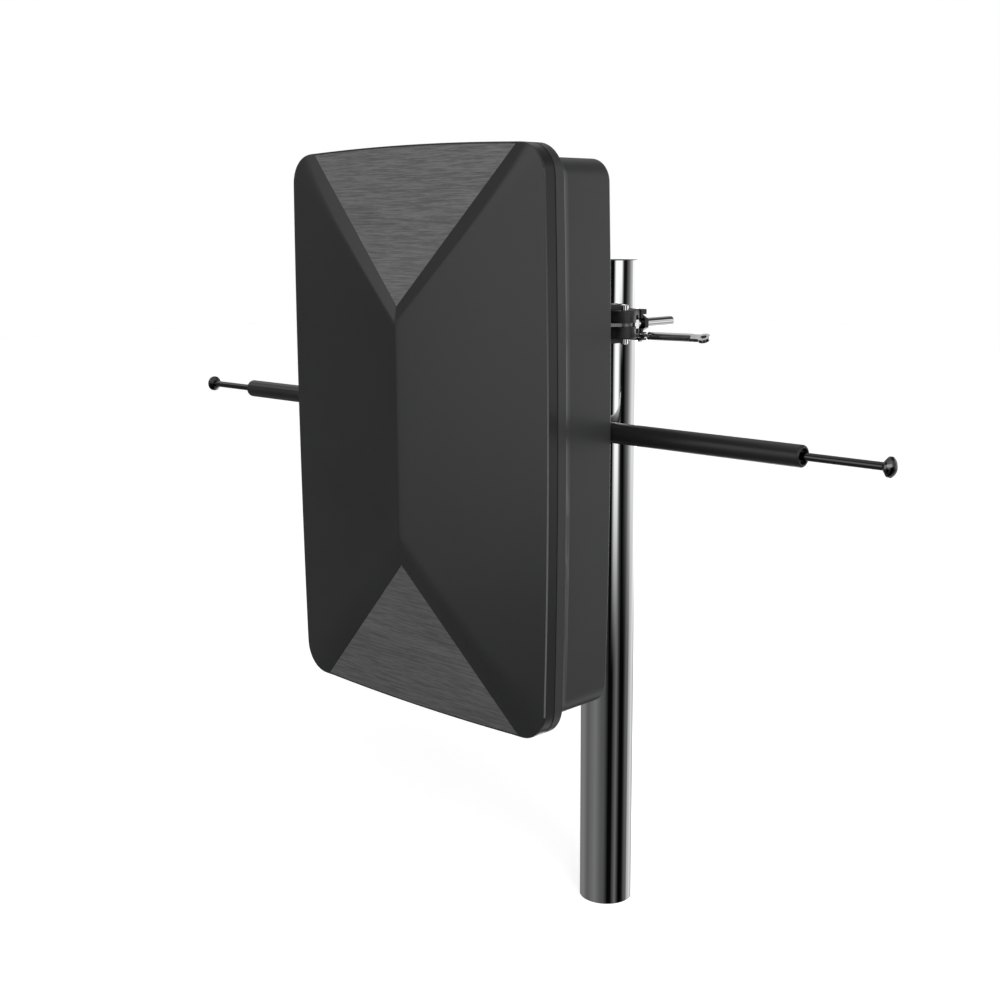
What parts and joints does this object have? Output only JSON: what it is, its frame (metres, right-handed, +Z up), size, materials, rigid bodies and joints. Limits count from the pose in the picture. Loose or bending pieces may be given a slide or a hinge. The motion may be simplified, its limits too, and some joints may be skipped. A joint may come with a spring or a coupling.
{
  "type": "panel tv antenna",
  "caption": "Flat panel tv antenna with a faceted front, telescopic rods across its back and a clamp that holds it on an upright chrome mast.",
  "frame": {"origin": "centre of the mast's foot", "axes": "+X to the viewer's right along the rods, +Y from the panel's front to its back, +Z up the mast"},
  "size_m": [0.7466, 0.172, 0.5968],
  "materials": {
    "chrome_mast": "polished chrome plate",
    "black_plastic": "fine satin moulded plastic",
    "brushed_inlay": "dark anodised with short horizontal brush strokes",
    "seal_rubber": "matt",
    "zinc_steel": "bright zinc plate",
    "aluminium_sheet": "mill finish",
    "circuit_board": "green laminate",
    "copper_foil": "bare copper",
    "white_nylon": "natural nylon",
    "nickel": "nickel plate",
    "lead_sheath": "matt sheath",
    "black_tube": "satin black",
    "rod_steel": "bright drawn steel",
    "dark_chrome": "dark polished plate",
    "dark_casting": "dark cast surface",
    "chrome_parts": "bright plate"
  },
  "bodies": {
    "mast": {"mast_tube": "chrome_mast"},
    "antenna": {"front_cover": "black_plastic", "rear_housing": "black_plastic", "rod_base": "black_plastic", "top_inlay": "brushed_inlay", "bottom_inlay": "brushed_inlay", "cover_seal": "seal_rubber", "cover_screws": "zinc_steel", "reflector_screws": "zinc_steel", "amplifier_screws": "zinc_steel", "rod_base_screws": "zinc_steel", "bracket_screws": "zinc_steel", "mast_bracket": "zinc_steel", "bracket_backing_plate": "zinc_steel", "amplifier_shield": "zinc_steel", "reflector_plate": "aluminium_sheet", "element_board": "circuit_board", "amplifier_board": "circuit_board", "radiating_elements": "copper_foil", "feed_pins": "copper_foil", "rod_feed_pins": "copper_foil", "board_standoffs": "white_nylon", "left_rod_guide": "white_nylon", "right_rod_guide": "white_nylon", "f_connector": "nickel", "f_connector_washer": "nickel", "f_connector_nut": "nickel", "output_lead": "lead_sheath", "left_rod_sleeve": "black_tube", "right_rod_sleeve": "black_tube", "clamp_front_jaw": "dark_casting", "clamp_rear_jaw": "dark_casting", "bracket_pins": "chrome_parts", "clamp_bolts": "chrome_parts", "clamp_nuts": "chrome_parts", "lever_pin": "chrome_parts"},
    "left_rod": {"left_rod": "rod_steel", "left_rod_tip": "dark_chrome"},
    "right_rod": {"right_rod": "rod_steel", "right_rod_tip": "dark_chrome"},
    "lever": {"clamp_lever": "chrome_parts"}
  },
  "joints": [
    {"name": "azimuth", "type": "hinge", "parent": "mast", "child": "antenna", "pos_m": [0, 0, 0.4663], "axis": [0, 0, 1], "continuous": true},
    {"name": "left_rod_slide", "type": "slide", "parent": "antenna", "child": "left_rod", "axis": [-1, 0, 0], "range_m": [-0.0595, 0.08]},
    {"name": "right_rod_slide", "type": "slide", "parent": "antenna", "child": "right_rod", "axis": [1, 0, 0], "range_m": [-0.0595, 0.08]},
    {"name": "lever_turn", "type": "hinge", "parent": "antenna", "child": "lever", "pos_m": [0.0283, 0.00025, 0.457], "axis": [0, 0, 1], "range_deg": [-9, 61]}
  ]
}
